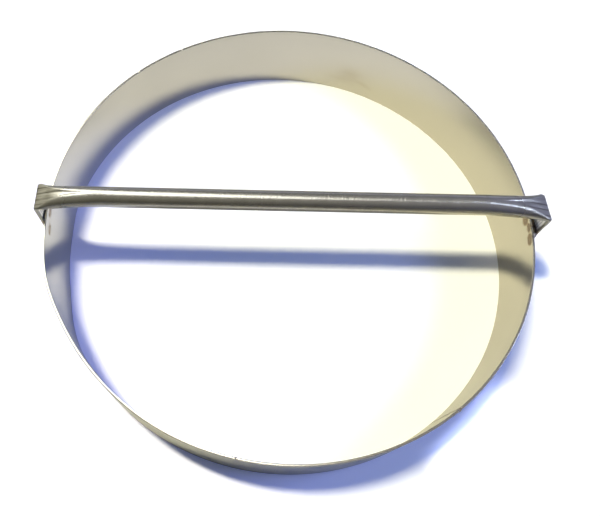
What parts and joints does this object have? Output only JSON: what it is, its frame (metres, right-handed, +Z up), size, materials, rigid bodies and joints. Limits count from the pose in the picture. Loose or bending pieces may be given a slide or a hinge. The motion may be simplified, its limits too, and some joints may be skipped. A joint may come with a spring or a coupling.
{
  "type": "pizza base cutter",
  "caption": "Round steel ring cutter for rolled dough: a thin upright band with a straight cutting edge and a tube handle across the top, flattened and folded down at its ends.",
  "frame": {"origin": "centre of the ring on the surface that the cutting edge stands on", "axes": "+X along the handle, +Z up out of the ring towards the handle"},
  "size_m": [0.2368, 0.2306, 0.0536],
  "materials": {
    "band_steel": "satin rolled sheet",
    "tube_steel": "polished tube with fine lines around it",
    "weld_metal": "bare weld with a straw heat tint"
  },
  "bodies": {
    "root": {"cutting_band": "band_steel", "band_seam_weld": "weld_metal", "handle_tube": "tube_steel", "left_spot_weld_mid": "weld_metal", "left_spot_weld_near": "weld_metal", "left_edge_tack": "weld_metal", "right_spot_weld_mid": "weld_metal", "right_spot_weld_near": "weld_metal", "right_edge_tack": "weld_metal"}
  },
  "joints": []
}
